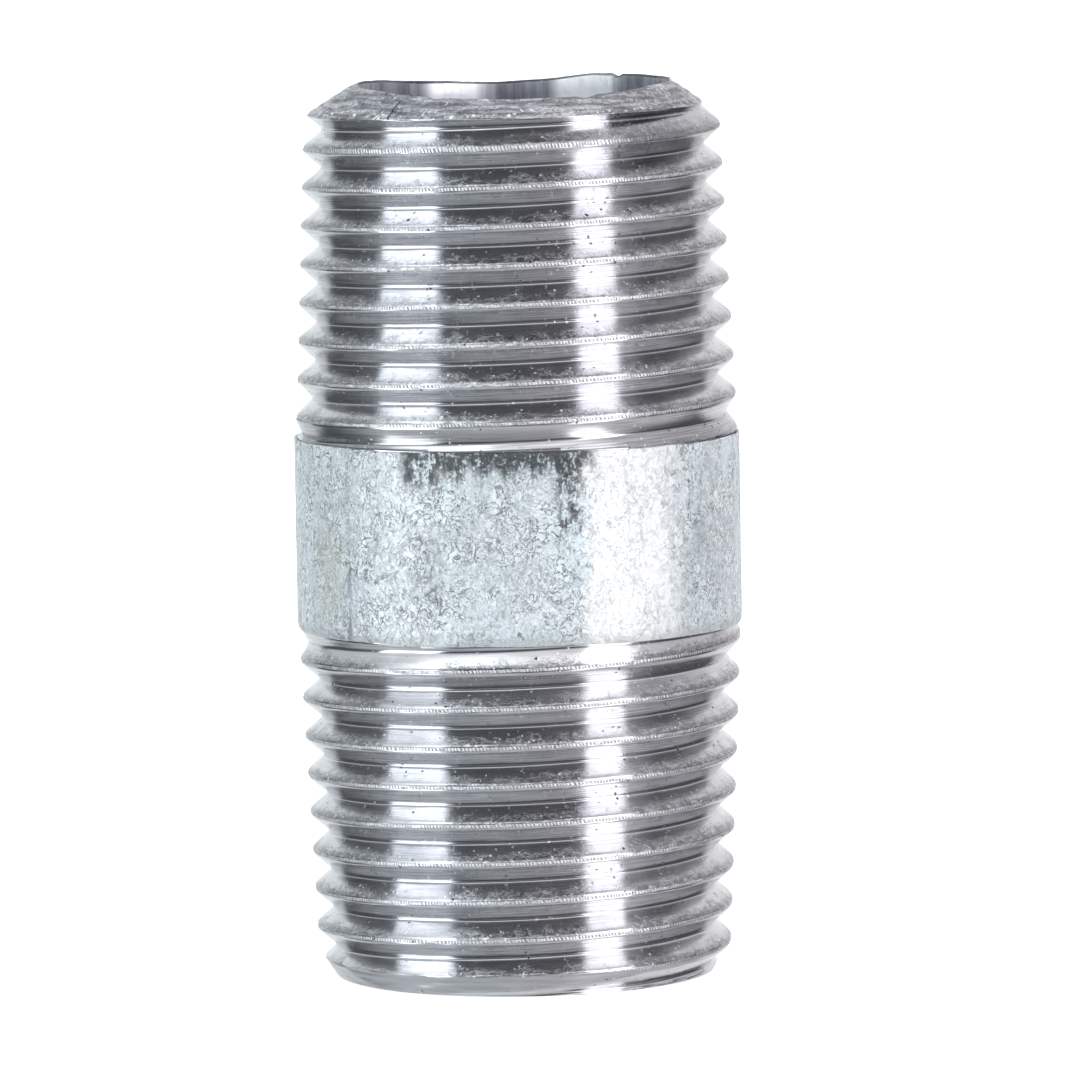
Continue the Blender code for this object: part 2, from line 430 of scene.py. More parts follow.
def zinc_bore():
    columns = 240
    turn = np.arange(columns) / columns
    off = (turn * TAU - math.pi - SEAM + math.pi) % TAU - math.pi
    bead = 0.20 * np.exp(-((off / math.radians(7.0)) ** 2))

    def wall(z):
        return (
            BORE_R
            - bead * (1 + 0.12 * noise(turn, z * 0.9, 9, 61))
            + 0.020 * noise(turn, z * 0.12, 13, 62)
            + 0.010 * noise(turn, z * 0.7, 41, 63)
            - 0.01
        )

    top = rim_z(turn) - 0.09 - 0.035 * (1 + noise(turn, 0.4, 33, 64))
    low = 0.16 + 0.03 * noise(turn, 0.4, 33, 65)
    outer = STEEL_BORE - 0.012
    rows = [(outer, low + 0.02)]
    rows.append((outer, top - 0.01))
    rows.append((wall(top) + 0.02, top))
    for f in np.linspace(0.0, 1.0, 70):
        z = top - 0.04 + f * (low - top + 0.08)
        rows.append((wall(z), z))
    rows.append((wall(low) + 0.02, low))
    return grid_solid("zinc_bore_skin", rows, columns)


# ---- node helpers -----------------------------------------------------------
class Graph:
    def __init__(self, tree):
        self.tree = tree
        tree.nodes.clear()

    def add(self, kind, **props):
        made = self.tree.nodes.new(kind)
        for key, value in props.items():
            setattr(made, key, value)
        return made

    def put(self, socket, value):
        if isinstance(value, bpy.types.NodeSocket):
            self.tree.links.new(value, socket)
        elif value is not None:
            socket.default_value = value

    def math(self, op, a, b=None, c=None, clamp=False):
        n = self.add("ShaderNodeMath", operation=op, use_clamp=clamp)
        for s, v in zip(n.inputs, (a, b, c)):
            self.put(s, v)
        return n.outputs[0]

    def mul(self, a, b):
        return self.math("MULTIPLY", a, b)

    def plus(self, a, b):
        return self.math("ADD", a, b)

    def rise(self, v, a, b, lo=0.0, hi=1.0):
        n = self.add("ShaderNodeMapRange", interpolation_type="SMOOTHSTEP")
        self.put(n.inputs["Value"], v)
        for key, x in (("From Min", a), ("From Max", b), ("To Min", lo), ("To Max", hi)):
            self.put(n.inputs[key], x)
        return n.outputs["Result"]

    def window(self, v, a, b, c, d):
        return self.mul(self.rise(v, a, b), self.rise(v, c, d, 1.0, 0.0))

    def mix(self, fac, a, b, blend="MIX"):
        n = self.add("ShaderNodeMix", data_type="RGBA", blend_type=blend, clamp_factor=True)
        self.put(n.inputs[0], fac)
        self.put(n.inputs[6], a)
        self.put(n.inputs[7], b)
        return n.outputs[2]

    def vec(self, x, y, z=0.0):
        n = self.add("ShaderNodeCombineXYZ")
        for s, v in zip(n.inputs, (x, y, z)):
            self.put(s, v)
        return n.outputs[0]

    def parts(self, v):
        n = self.add("ShaderNodeSeparateXYZ")
        self.put(n.inputs[0], v)
        return n.outputs[0], n.outputs[1], n.outputs[2]

    def noise(self, v, scale=1.0, detail=2.0, rough=0.5, distortion=0.0):
        n = self.add("ShaderNodeTexNoise")
        self.put(n.inputs["Vector"], v)
        n.inputs["Scale"].default_value = scale
        n.inputs["Detail"].default_value = detail
        n.inputs["Roughness"].default_value = rough
        n.inputs["Distortion"].default_value = distortion
        return n.outputs[0]

    def voronoi(self, v, scale=1.0, feature="F1"):
        n = self.add("ShaderNodeTexVoronoi", feature=feature)
        self.put(n.inputs["Vector"], v)
        n.inputs["Scale"].default_value = scale
        return n

    def attribute(self, name):
        return self.add("ShaderNodeAttribute", attribute_name=name).outputs["Fac"]

    def bump(self, height, distance, strength=1.0, normal=None):
        n = self.add("ShaderNodeBump")
        n.inputs["Strength"].default_value = strength
        n.inputs["Distance"].default_value = distance
        self.put(n.inputs["Height"], height)
        if normal is not None:
            self.put(n.inputs["Normal"], normal)
        return n.outputs[0]


def rgb(r, g, b):
    return (r, g, b, 1.0)


def shader(g, colour, roughness, normal, metallic, anisotropic=0.0, tangent=None):
    s = g.add("ShaderNodeBsdfPrincipled")
    g.put(s.inputs["Base Color"], colour)
    g.put(s.inputs["Roughness"], roughness)
    g.put(s.inputs["Normal"], normal)
    s.inputs["Metallic"].default_value = metallic
    s.inputs["Anisotropic"].default_value = anisotropic
    if tangent is not None:
        g.put(s.inputs["Tangent"], tangent)
    out = g.add("ShaderNodeOutputMaterial")
    g.tree.links.new(s.outputs[0], out.inputs[0])
    return s


def new_material(name):
    m = bpy.data.materials.new(name)
    m.use_nodes = True
    return m, Graph(m.node_tree)


def object_mm(g):
    """The piece's own coordinates, in millimetres, and the angle from the front, in degrees."""
    at = g.add("ShaderNodeTexCoord").outputs["Object"]
    n = g.add("ShaderNodeVectorMath", operation="SCALE")
    g.put(n.inputs[0], at)
    n.inputs["Scale"].default_value = 1000.0
    x, y, z = g.parts(n.outputs[0])
    front = g.mul(g.math("ARCTAN2", x, g.mul(y, -1.0)), 180.0 / math.pi)
    return n.outputs[0], x, y, z, front


def steel_material():
    m, g = new_material("cut_steel")
    uv = g.add("ShaderNodeUVMap", uv_map="thread_uv").outputs[0]
    u, v, _ = g.parts(uv)
    at_crest = g.attribute("crest")
    root = g.attribute("root")
    bevel = g.attribute("bevel")
    here, x, y, z, front = object_mm(g)
    cut = g.math("SUBTRACT", 1.0, bevel)
    top = PITCH / 2
    waver = g.mul(g.plus(g.noise(g.vec(g.mul(u, 1.6), 0.0, 11.0), 1.0, 3.0, 0.6), -0.5), 0.07)
    level = g.plus(v, waver)
    wide = g.mul(g.rise(z, 38.1, 38.9), 0.045)
    crest = g.mul(
        g.rise(g.plus(level, wide), top - 0.085, top - 0.055),
        g.rise(g.math("SUBTRACT", level, wide), top + 0.045, top + 0.075, 1.0, 0.0),
    )
    crest = g.mul(crest, g.rise(at_crest, 0.0, 0.15))
    shoulder = g.mul(g.window(level, top + 0.030, top + 0.060, top + 0.20, top + 0.36), cut)
    # painted highlight: two windows of angle from the front, where the lamps reflect; the darkened strip under each
    # crest is lifted there
    lamp_glare_windows = g.plus(g.window(front, -43.0, -38.0, -22.0, -17.0), g.window(front, 14.0, 18.0, 28.0, 33.0))
    shoulder = g.mul(shoulder, g.math("SUBTRACT", 1.0, g.mul(lamp_glare_windows, 0.90)))

    # v runs from one root, over the crest at half a pitch, to the next root
    low_flank = g.mul(g.window(v, 0.02, 0.06, 0.80, 0.86), cut)
    high_flank = g.mul(g.window(v, 0.95, 1.00, 1.76, 1.80), cut)
    ragged = g.noise(g.vec(g.mul(u, 0.9), g.mul(v, 1.2), 2.0), 1.0, 4.0, 0.6)
    smooth_part = g.rise(g.plus(v, g.mul(g.plus(ragged, -0.5), 1.2)), 1.06, 1.56)
    plucked = g.mul(high_flank, g.math("SUBTRACT", 1.0, smooth_part))
    # painted highlight: the torn flank's dark colour is weakened in the same lamp windows, more on the lower thread
    glare_lift = g.mul(lamp_glare_windows, g.plus(0.50, g.mul(g.rise(z, 22.0, 20.0), 0.35)))
    plucked = g.mul(plucked, g.math("SUBTRACT", 1.0, glare_lift))
    mouth = g.mul(bevel, g.rise(z, 20.0, 30.0))
    foot = g.math("SUBTRACT", bevel, mouth)

    fine = g.noise(g.vec(g.mul(u, 0.16), g.mul(v, 26.0), 0.0), 1.0, 4.0, 0.7)
    coarse = g.noise(g.vec(g.mul(u, 0.05), g.mul(v, 8.0), 4.0), 1.0, 2.0, 0.5)
    lines = g.noise(g.vec(g.mul(u, 0.30), g.mul(v, 17.0), 6.0), 1.0, 3.0, 0.6)
    patch = g.noise(here, 0.45, 3.0, 0.6)
    grain = g.noise(here, 10.0, 3.0, 0.65)
    torn = g.noise(here, 3.4, 6.0, 0.74, 0.6)
    crack = g.noise(here, 2.0, 4.0, 0.62, 1.4)
    crack = g.rise(g.math("ABSOLUTE", g.math("SUBTRACT", crack, 0.5)), 0.010, 0.040, 1.0, 0.0)
    scale_like = g.noise(g.vec(g.mul(u, 2.4), g.mul(v, 4.5), 9.0), 1.0, 5.0, 0.72, 0.8)

    # chatter on the crests: the die's teeth left a tick every seventh of a millimetre. The ticks are bumped, painted
    # near-white as painted glints, and the gaps between them are painted darker as painted shade
    wander = g.noise(g.vec(g.mul(u, 0.8), 0.0, 7.0), 1.0, 3.0)
    ticks = g.math("SINE", g.plus(g.mul(g.plus(u, g.mul(v, 0.35)), TAU * 5.9), g.mul(wander, 24.0)))
    ticks = g.rise(ticks, -0.75, 0.35)
    tick_here = g.rise(g.noise(g.vec(g.mul(u, 0.16), 0.0, 3.0), 1.0, 2.0), 0.46, 0.60)
    tick_break = g.rise(g.noise(g.vec(g.mul(u, 2.3), g.mul(v, 4.0), 5.0), 1.0, 3.0), 0.36, 0.60)
    tick_here = g.math("MAXIMUM", tick_here, g.mul(g.rise(z, 34.5, 37.5), 0.95))
    tick_here = g.math("MAXIMUM", tick_here, g.mul(g.rise(z, 15.0, 13.5), 0.80))
    tick_here = g.math("MAXIMUM", tick_here, g.mul(g.window(front, -4.0, 12.0, 60.0, 75.0), 0.80))
    tick_on = g.mul(g.plus(0.16, g.mul(tick_here, 0.84)), g.plus(0.30, g.mul(tick_break, 0.70)))
    crest_glint_paint = g.rise(g.noise(g.vec(g.mul(u, 2.6), g.mul(v, 5.0), 8.0), 1.0, 4.0, 0.7), 0.42, 0.60)
    tick_glint_paint = g.mul(g.mul(ticks, tick_on), crest)
    tick_gap_shade = g.mul(g.mul(g.math("SUBTRACT", 1.0, ticks), tick_on), crest)

    blob = g.mul(g.plus(torn, -0.5), 0.55)
    specks = g.rise(g.plus(g.voronoi(here, 2.0).outputs["Distance"], blob), 0.05, 0.16, 1.0, 0.0)
    specks = g.mul(specks, g.rise(g.noise(here, 0.7, 2.0), 0.50, 0.57))
    # raised flecks, painted near-white as painted glints, mostly on the torn flanks
    flecks_and_glints = g.rise(g.plus(g.voronoi(here, 2.7).outputs["Distance"], blob), 0.07, 0.19, 1.0, 0.0)
    flecks_and_glints = g.mul(flecks_and_glints, g.rise(g.noise(here, 1.1, 2.0), 0.49, 0.57))
    flecks_and_glints = g.mul(flecks_and_glints, g.plus(0.25, g.mul(plucked, 0.75)))

    colour = g.mix(g.rise(fine, 0.34, 0.70), rgb(0.51, 0.515, 0.54), rgb(0.65, 0.655, 0.68))
    colour = g.mix(g.mul(g.rise(lines, 0.53, 0.62), g.mul(low_flank, 0.72)), colour, rgb(0.33, 0.335, 0.36))
    colour = g.mix(g.mul(g.rise(coarse, 0.50, 0.72), g.mul(low_flank, 0.40)), colour, rgb(0.42, 0.425, 0.46))
    colour = g.mix(g.mul(g.rise(lines, 0.42, 0.33), g.mul(low_flank, 0.50)), colour, rgb(0.84, 0.85, 0.88))
    colour = g.mix(g.mul(g.rise(patch, 0.52, 0.72), 0.26), colour, rgb(0.38, 0.38, 0.41))
    colour = g.mix(g.mul(plucked, 0.60), colour, rgb(0.35, 0.355, 0.38))
    colour = g.mix(g.mul(plucked, g.mul(g.rise(scale_like, 0.52, 0.66), 0.85)), colour, rgb(0.72, 0.73, 0.76))
    colour = g.mix(g.mul(plucked, g.mul(g.rise(scale_like, 0.46, 0.34), 0.85)), colour, rgb(0.17, 0.17, 0.19))
    colour = g.mix(g.mul(g.mul(plucked, crack), 0.60), colour, rgb(0.15, 0.15, 0.17))
    # a strip just under each crest is darkened by a noise-varied amount
    shoulder_dark_amount = g.plus(0.30, g.mul(g.rise(scale_like, 0.60, 0.42), 0.50))
    colour = g.mix(g.mul(shoulder, shoulder_dark_amount), colour, rgb(0.19, 0.19, 0.21))
    # painted highlight: the crest line is mixed towards near-white, broken up by noise
    colour = g.mix(g.mul(crest, 0.85), colour, g.mix(crest_glint_paint, rgb(0.42, 0.43, 0.46), rgb(0.92, 0.93, 0.95)))
    colour = g.mix(g.mul(crest, g.rise(torn, 0.44, 0.33)), colour, rgb(0.20, 0.20, 0.22))
    # painted glints on the ticks and painted shade in the gaps between them
    colour = g.mix(tick_glint_paint, colour, rgb(0.97, 0.98, 1.0))
    colour = g.mix(g.mul(tick_gap_shade, 0.85), colour, rgb(0.20, 0.21, 0.23))
    # painted shade: the bottom of the groove, at the thread root, is mixed darker
    colour = g.mix(g.mul(root, g.plus(0.50, g.mul(coarse, 0.45))), colour, rgb(0.36, 0.365, 0.39))

    # painted shade: the top turns just under the bevel, on the right, are painted darker in patches
    wavy = g.plus(front, g.mul(g.plus(torn, -0.5), 16.0))
    top_right_shade = g.plus(g.window(wavy, 25.0, 33.0, 46.0, 60.0), g.mul(g.window(wavy, 46.0, 60.0, 84.0, 110.0), 0.55))
    top_right_shade = g.mul(g.mul(top_right_shade, g.rise(z, 38.7, 39.2)), cut)
    colour = g.mix(g.mul(top_right_shade, g.plus(0.45, g.mul(g.rise(torn, 0.36, 0.62), 0.40))), colour, rgb(0.19, 0.19, 0.215))

    # the last shallow turn beside the band is darker
    runout = g.mul(g.window(z, BAND_HIGH - 0.1, BAND_HIGH, BAND_HIGH + 0.75, BAND_HIGH + 1.15), cut)
    colour = g.mix(g.mul(runout, 0.72), colour, g.mix(g.rise(lines, 0.40, 0.60), rgb(0.20, 0.205, 0.225), rgb(0.40, 0.405, 0.43)))

    # the mouth's bevel: turned by hand tools, torn along its edges; the foot's chamfer is smoother
    turned = g.noise(g.vec(g.mul(x, 0.42), g.mul(y, 0.42), g.mul(z, 5.5)), 1.0, 5.0, 0.62)
    blotch = g.noise(here, 1.1, 4.0, 0.6, 0.4)
    colour = g.mix(g.mul(mouth, 0.95), colour, g.mix(g.rise(turned, 0.38, 0.62), rgb(0.19, 0.195, 0.22), rgb(0.60, 0.61, 0.65)))
    colour = g.mix(g.mul(mouth, g.mul(g.rise(blotch, 0.50, 0.64), 0.50)), colour, rgb(0.15, 0.155, 0.18))
    # painted glints: near-white flecks on the torn bevel
    colour = g.mix(g.mul(mouth, g.rise(torn, 0.57, 0.65)), colour, rgb(0.95, 0.96, 0.98))
    colour = g.mix(g.mul(mouth, g.mul(g.rise(torn, 0.44, 0.36), 0.8)), colour, rgb(0.08, 0.08, 0.10))
    colour = g.mix(g.mul(g.mul(mouth, crack), 0.65), colour, rgb(0.07, 0.07, 0.09))
    colour = g.mix(g.mul(foot, 0.85), colour, g.mix(g.rise(turned, 0.35, 0.65), rgb(0.40, 0.405, 0.435), rgb(0.50, 0.51, 0.54)))
    # one slanted score across the bevel
    score = g.math("ABSOLUTE", g.plus(g.plus(front, 38.4), g.mul(g.plus(z, -41.3), 2.2)))
    score = g.mul(g.rise(score, 0.55, 0.20), g.mul(mouth, g.window(z, 40.80, 40.90, 41.60, 41.75)))
    colour = g.mix(g.mul(score, 0.9), colour, rgb(0.06, 0.06, 0.08))
    # burrs along the bevel's outer edge and the top crest, bumped up and painted near-white as painted highlights,
    # more of them on the left
    chip_zone = g.mul(g.plus(crest, mouth), g.window(z, 40.55, 40.70, 41.08, 41.22))
    burrs_and_glints = g.rise(g.plus(g.voronoi(here, 2.6).outputs["Distance"], blob), 0.16, 0.28, 1.0, 0.0)
    chip_some = g.math("MAXIMUM", g.rise(g.noise(here, 0.8, 2.0), 0.38, 0.50), g.mul(g.rise(front, -16.0, -30.0), 0.9))
    burrs_and_glints = g.mul(g.mul(burrs_and_glints, chip_zone), chip_some)
    colour = g.mix(burrs_and_glints, colour, rgb(0.98, 0.98, 1.0))
    colour = g.mix(flecks_and_glints, colour, rgb(0.97, 0.98, 1.0))
    colour = g.mix(specks, colour, rgb(0.05, 0.05, 0.06))

    rough = g.plus(0.12, g.mul(fine, 0.08))
    rough = g.plus(rough, g.mul(low_flank, 0.03))
    rough = g.plus(rough, g.mul(plucked, g.plus(0.02, g.mul(g.rise(scale_like, 0.42, 0.62), 0.10))))
    rough = g.plus(rough, g.mul(crest, 0.38))
    rough = g.plus(rough, g.mul(mouth, 0.30))
    rough = g.plus(rough, g.mul(foot, 0.16))
    rough = g.plus(rough, g.mul(specks, 0.3))
    rough = g.plus(rough, g.mul(flecks_and_glints, 0.3))

    streaks = g.plus(g.mul(fine, 0.10), g.mul(coarse, 0.16))
    height = g.mul(streaks, g.plus(0.5, g.mul(low_flank, 0.5)))
    height = g.plus(height, g.mul(g.mul(ticks, crest), 1.0))
    height = g.plus(height, g.mul(g.mul(grain, crest), 1.2))
    height = g.plus(height, g.mul(g.mul(scale_like, plucked), 0.85))
    height = g.plus(height, g.mul(g.mul(crack, plucked), -0.5))
    height = g.plus(height, g.mul(g.mul(torn, mouth), 4.0))
    height = g.plus(height, g.mul(g.mul(turned, mouth), 4.0))
    height = g.plus(height, g.mul(g.mul(turned, foot), 1.0))
    height = g.plus(height, g.mul(burrs_and_glints, 3.0))
    height = g.plus(height, g.mul(score, -3.0))
    height = g.plus(height, g.mul(specks, -1.5))
    height = g.plus(height, g.mul(flecks_and_glints, 2.0))
    normal = g.bump(height, 0.000012, 1.0)
    tangent = g.add("ShaderNodeTangent", direction_type="RADIAL", axis="Z").outputs[0]
    s = shader(g, colour, rough, normal, 1.0, 0.6, tangent)
    s.inputs["Anisotropic Rotation"].default_value = 0.25
    return m


def zinc_material():
    m, g = new_material("dull_zinc")
    here, x, y, z, front = object_mm(g)
    mottle = g.noise(here, 0.75, 5.0, 0.62, 0.3)
    blotch = g.noise(here, 0.28, 3.0, 0.55)
    grain = g.noise(here, 6.5, 4.0, 0.7)
    flake = g.noise(here, 3.0, 7.0, 0.78, 0.5)
    axial = g.noise(g.vec(g.mul(x, 1.9), g.mul(y, 1.9), g.mul(z, 0.10)), 1.0, 3.0, 0.6)
    grass = g.noise(g.vec(g.mul(x, 5.5), g.mul(y, 5.5), g.mul(z, 1.6)), 1.0, 4.0, 0.7)

    crackle = g.noise(here, 1.7, 4.0, 0.62, 1.6)
    thin = g.math("ABSOLUTE", g.math("SUBTRACT", crackle, 0.5))
    veins = g.rise(thin, 0.008, 0.036, 1.0, 0.0)
    veins = g.mul(veins, g.rise(mottle, 0.38, 0.56))
    folds = g.noise(g.vec(g.mul(x, 0.9), g.mul(y, 0.9), g.mul(z, 0.55)), 1.0, 4.0, 0.60, 1.8)
    folds = g.rise(g.math("ABSOLUTE", g.math("SUBTRACT", folds, 0.5)), 0.005, 0.022, 1.0, 0.0)
    folds = g.mul(folds, g.rise(flake, 0.42, 0.52))
    shine = g.noise(here, 2.6, 5.0, 0.68, 1.4)
    shine = g.rise(g.math("ABSOLUTE", g.math("SUBTRACT", shine, 0.52)), 0.010, 0.045, 1.0, 0.0)
    pits = g.mul(g.rise(flake, 0.555, 0.62), g.rise(blotch, 0.42, 0.58))
    dots = g.rise(g.voronoi(here, 2.0).outputs["Distance"], 0.06, 0.13, 1.0, 0.0)
    dots = g.mul(dots, g.rise(g.noise(here, 0.9, 1.0), 0.50, 0.58))

    # grease and scale left beside the upper thread, with one run below it
    wave = g.noise(g.vec(g.mul(front, 0.15), 0.0, 3.0), 1.0, 3.0, 0.6)
    reach = g.plus(BAND_HIGH - 3.35, g.mul(wave, 4.4))
    edge = g.rise(g.math("SUBTRACT", z, reach), -0.30, 0.60)
    stretch = g.window(front, -33.0, -28.0, 17.0, 23.0)
    broken = g.plus(g.mul(grass, 0.35), g.mul(flake, 0.65))
    ragged = g.rise(g.plus(broken, g.mul(edge, 0.06)), 0.46, 0.545)
    stain = g.mul(g.mul(edge, stretch), ragged)
    left_patch = g.mul(g.window(front, -32.0, -29.0, -22.0, -18.0), g.window(z, BAND_HIGH - 2.1, BAND_HIGH - 1.2, BAND_HIGH - 0.3, BAND_HIGH))
    stain = g.math("MAXIMUM", stain, g.mul(left_patch, g.rise(broken, 0.45, 0.53)))
    run_z = g.window(z, BAND_HIGH - 4.4, BAND_HIGH - 3.2, BAND_HIGH - 0.5, BAND_HIGH - 0.1)
    run = g.mul(g.mul(g.window(g.plus(front, g.mul(wave, 3.0)), 10.0, 13.0, 16.0, 19.5), run_z), g.rise(broken, 0.45, 0.53))
    run2 = g.window(z, BAND_LOW + 0.9, BAND_LOW + 2.2, BAND_HIGH - 4.2, BAND_HIGH - 3.2)
    run2 = g.mul(g.mul(g.window(front, -29.0, -26.0, -23.0, -17.0), run2), g.rise(flake, 0.47, 0.56))
    run3 = g.window(z, BAND_HIGH - 5.8, BAND_HIGH - 5.0, BAND_HIGH - 3.6, BAND_HIGH - 2.9)
    run3 = g.mul(g.mul(g.window(front, 49.5, 52.0, 54.5, 58.0), run3), g.rise(flake, 0.47, 0.56))
    line = g.mul(g.window(front, -50.2, -49.3, -48.6, -47.6), g.rise(grass, 0.34, 0.58))
    line = g.mul(line, g.plus(0.35, g.mul(g.rise(z, BAND_LOW + 5.0, BAND_LOW + 2.0), 0.65)))
    left_side_shade = g.mul(g.rise(front, -20.0, -21.2), g.rise(front, -44.0, -40.0))
    lower = g.mul(g.rise(z, BAND_LOW + 0.75, BAND_LOW + 0.1, 0.0, 1.0), 0.45)

    colour = g.mix(g.rise(mottle, 0.32, 0.68), rgb(0.385, 0.47, 0.525), rgb(0.68, 0.765, 0.82))
    # painted highlight: a band on the right of the zinc, about 15 to 52 degrees from the front, is mixed towards
    # white; veins and pits fade inside it
    right_highlight_paint = g.window(g.plus(front, g.mul(g.plus(mottle, -0.5), 14.0)), 15.0, 20.0, 36.0, 52.0)
    colour = g.mix(g.mul(right_highlight_paint, 0.55), colour, rgb(0.93, 0.95, 0.96))
    colour = g.mix(g.mul(g.rise(blotch, 0.47, 0.60), 0.40), colour, rgb(0.66, 0.76, 0.82))
    colour = g.mix(g.mul(g.rise(blotch, 0.46, 0.36), 0.35), colour, rgb(0.34, 0.41, 0.45))
    colour = g.mix(g.mul(g.rise(axial, 0.50, 0.66), 0.45), colour, rgb(0.42, 0.49, 0.53))
    # painted shade: the left of the band, about 21 to 40 degrees from the front, is mixed towards mid grey
    colour = g.mix(g.mul(left_side_shade, 0.16), colour, rgb(0.40, 0.43, 0.44))
    calm = g.plus(0.45, g.mul(g.rise(blotch, 0.56, 0.44), 0.55))
    colour = g.mix(g.mul(g.mul(g.rise(flake, 0.50, 0.60), 0.62), calm), colour, rgb(0.93, 0.95, 0.965))
    colour = g.mix(g.mul(g.mul(g.rise(flake, 0.46, 0.38), 0.52), calm), colour, rgb(0.32, 0.365, 0.39))
    cloud = g.noise(g.vec(g.mul(x, 0.42), g.mul(y, 0.42), g.mul(z, 0.20)), 1.0, 3.0, 0.55, 0.5)
    colour = g.mix(g.mul(g.rise(cloud, 0.48, 0.64), 0.50), colour, rgb(0.66, 0.765, 0.83))
    colour = g.mix(g.mul(g.rise(cloud, 0.46, 0.34), 0.30), colour, rgb(0.33, 0.385, 0.41))
    colour = g.mix(g.mul(g.mul(g.rise(grain, 0.52, 0.62), 0.50), calm), colour, rgb(0.96, 0.97, 0.98))
    colour = g.mix(g.mul(g.mul(g.rise(grain, 0.46, 0.36), 0.38), calm), colour, rgb(0.28, 0.32, 0.34))
    colour = g.mix(g.mul(shine, 0.55), colour, rgb(0.98, 0.985, 0.99))
    colour = g.mix(g.mul(veins, g.math("SUBTRACT", 0.92, g.mul(right_highlight_paint, 0.45))), colour, rgb(0.13, 0.15, 0.165))
    colour = g.mix(g.mul(folds, 0.50), colour, rgb(0.17, 0.19, 0.20))
    colour = g.mix(g.mul(pits, g.math("SUBTRACT", 0.75, g.mul(right_highlight_paint, 0.45))), colour, rgb(0.13, 0.15, 0.16))
    colour = g.mix(g.mul(dots, 0.6), colour, rgb(0.18, 0.20, 0.22))
    # painted highlight: the right band again, and a faint band on the left, mixed towards near-white
    side_highlights_paint = g.plus(g.mul(right_highlight_paint, 0.52), g.mul(g.window(front, -47.0, -40.0, -28.0, -21.0), 0.06))
    colour = g.mix(side_highlights_paint, colour, rgb(0.98, 0.985, 0.99))
    colour = g.mix(g.mul(stain, 0.92), colour, rgb(0.035, 0.04, 0.045))
    colour = g.mix(g.mul(run, 0.85), colour, rgb(0.07, 0.075, 0.08))
    colour = g.mix(g.mul(run2, 0.65), colour, rgb(0.10, 0.105, 0.11))
    colour = g.mix(g.mul(run3, 0.55), colour, rgb(0.16, 0.165, 0.18))
    colour = g.mix(g.mul(line, 0.75), colour, rgb(0.14, 0.15, 0.16))
    # painted shade: the bottom edge of the band, where it rounds under, is mixed darker
    colour = g.mix(lower, colour, rgb(0.33, 0.35, 0.37))
    olive = g.mul(g.window(front, -68.0, -60.0, -54.0, -51.0), g.window(z, 17.0, 18.6, 20.4, 22.5))
    colour = g.mix(g.mul(olive, 0.20), colour, rgb(0.50, 0.50, 0.30))

    rough = g.plus(0.32, g.mul(mottle, 0.16))
    rough = g.plus(rough, g.mul(pits, 0.2))
    height = g.plus(g.mul(mottle, 1.2), g.mul(grain, 0.5))
    height = g.plus(height, g.mul(g.mul(flake, 1.6), calm))
    height = g.plus(height, g.mul(veins, -0.8))
    height = g.plus(height, g.mul(folds, -0.9))
    height = g.plus(height, g.mul(shine, 0.5))
    height = g.plus(height, g.mul(pits, -1.2))
    height = g.plus(height, g.mul(dots, -1.2))
    normal = g.bump(height, 0.000016, 1.0)
    shader(g, colour, rough, normal, 0.40)
    return m


def bore_material():
    m, g = new_material("bore_zinc")
    here, x, y, z, front = object_mm(g)
    streak = g.noise(g.vec(g.mul(x, 1.6), g.mul(y, 1.6), g.mul(z, 0.12)), 1.0, 4.0, 0.6)
    mottle = g.noise(here, 1.4, 5.0, 0.6)
    # painted light and shade: two pale patches on the back of the bore wall are painted light, and the rest of the
    # wall is painted dark as shade inside the bore
    lit_patches = g.plus(
        g.window(g.plus(front, g.mul(streak, 8.0)), -173.0, -160.0, -147.0, -139.0),
        g.window(g.plus(front, g.mul(streak, 8.0)), 139.0, 144.0, 164.0, 171.0),
    )
    colour = g.mix(g.rise(streak, 0.35, 0.65), rgb(0.13, 0.14, 0.172), rgb(0.29, 0.30, 0.35))
    colour = g.mix(lit_patches, colour, g.mix(g.rise(streak, 0.35, 0.65), rgb(0.86, 0.91, 0.96), rgb(0.98, 0.99, 1.0)))
    colour = g.mix(g.mul(g.rise(mottle, 0.5, 0.7), 0.25), colour, rgb(0.30, 0.30, 0.35))
    rough = g.plus(0.26, g.mul(mottle, 0.16))
    normal = g.bump(g.plus(streak, g.mul(mottle, 0.5)), 0.00003, 1.0)
    shader(g, colour, rough, normal, 0.20)
    return m


# ---- pieces -----------------------------------------------------------------
def piece(name, mesh, material, nodes, sharp=None):
    obj = bpy.data.objects.new(name, mesh)
    bpy.context.scene.collection.objects.link(obj)
    mesh.materials.append(material)
    mesh.shade_smooth()
    if sharp is not None:
        mesh.set_sharp_from_angle(angle=math.radians(sharp))
    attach(obj, "root")
    if nodes:
        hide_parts(*nodes)
    return obj


steel = steel_material()
zinc = zinc_material()
bore = bore_material()

piece("upper_steel_half", upper_half(), steel, ["steel_pipe_body"], 60)
piece("lower_steel_half", lower_half(), steel, ["steel_pipe_body"], 60)
piece("zinc_band_skin", zinc_band(), zinc, ["outer_zinc_coat"], 50)
piece("zinc_bore_skin", zinc_bore(), bore, ["bore_zinc_lining"], 50)


